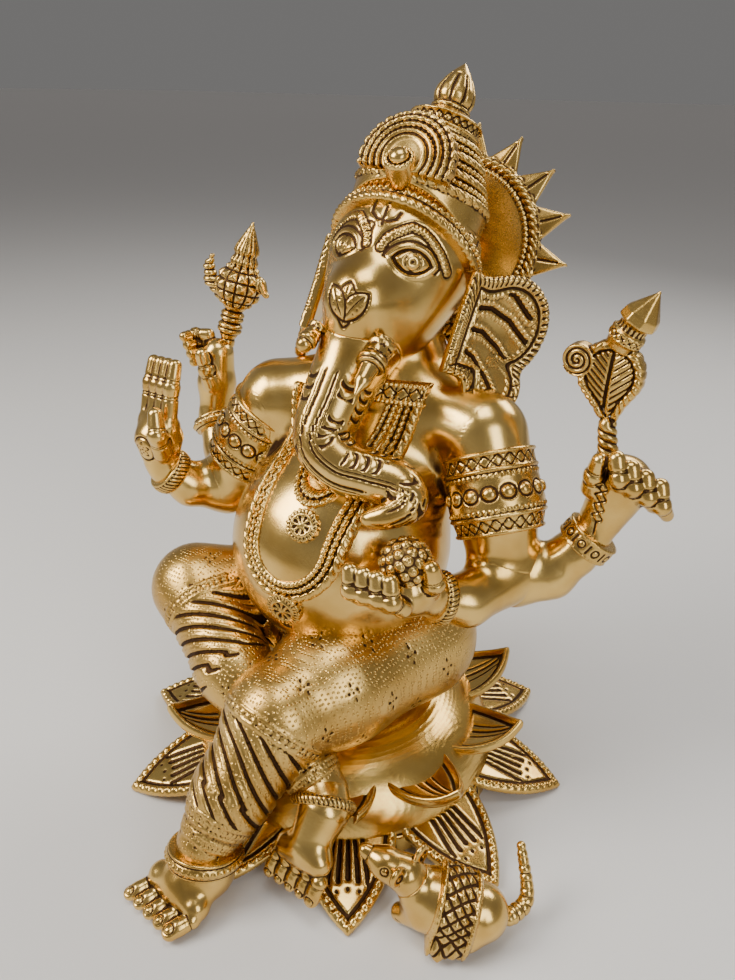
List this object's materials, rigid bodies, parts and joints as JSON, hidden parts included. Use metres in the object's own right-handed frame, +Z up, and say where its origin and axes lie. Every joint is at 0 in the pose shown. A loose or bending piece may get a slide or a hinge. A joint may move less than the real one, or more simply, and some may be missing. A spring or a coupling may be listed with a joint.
{
  "type": "hindu deity statue",
  "caption": "Cast brass statue of an elephant-headed deity seated on a lotus base with one foot down, four arms, tall crown, sun halo and a mouse at the foot.",
  "frame": {"origin": "centre of the lotus base on the plane it stands on", "axes": "+Z up, the figure faces -Y, its own left hand side is +X"},
  "size_m": [0.293, 0.2945, 0.3824],
  "materials": {
    "polished_brass": "polished",
    "ornament_brass": "satin",
    "dhoti_brass": "satin",
    "lotus_brass": "polished",
    "base_brass": "cast"
  },
  "bodies": {
    "root": {"seat_cushion": "lotus_brass", "base_plate": "base_brass", "upper_petals": "lotus_brass", "lower_petals": "lotus_brass", "centre_stud": "base_brass", "stud_nut": "base_brass", "hips": "dhoti_brass", "torso": "polished_brass", "left_leg": "dhoti_brass", "right_leg": "dhoti_brass", "left_foot": "polished_brass", "right_foot": "polished_brass", "left_anklet": "ornament_brass", "right_anklet": "ornament_brass", "long_necklace": "ornament_brass", "short_necklace": "ornament_brass", "choker": "ornament_brass", "belly_pendant": "ornament_brass", "chest_pendant": "ornament_brass", "head": "polished_brass", "trunk": "polished_brass", "left_tusk": "polished_brass", "right_tusk": "polished_brass", "left_ear": "polished_brass", "right_ear": "polished_brass", "brow_band": "ornament_brass", "crown": "ornament_brass", "crown_plume": "ornament_brass", "crown_boss": "ornament_brass", "halo": "ornament_brass", "left_upper_arm": "polished_brass", "right_upper_arm": "polished_brass", "left_armband": "ornament_brass", "right_armband": "ornament_brass", "front_left_forearm": "polished_brass", "rear_left_forearm": "polished_brass", "front_right_forearm": "polished_brass", "rear_right_forearm": "polished_brass", "front_left_bangle": "ornament_brass", "rear_left_bangle": "ornament_brass", "front_right_bangle": "ornament_brass", "rear_right_bangle": "ornament_brass", "front_left_hand": "polished_brass", "rear_left_hand": "polished_brass", "front_right_hand": "polished_brass", "rear_right_hand": "polished_brass", "sweet": "ornament_brass", "noose": "ornament_brass", "goad": "ornament_brass", "mouse_body": "polished_brass", "mouse_head": "polished_brass", "mouse_saddle": "ornament_brass", "mouse_tail": "polished_brass"}
  },
  "joints": []
}
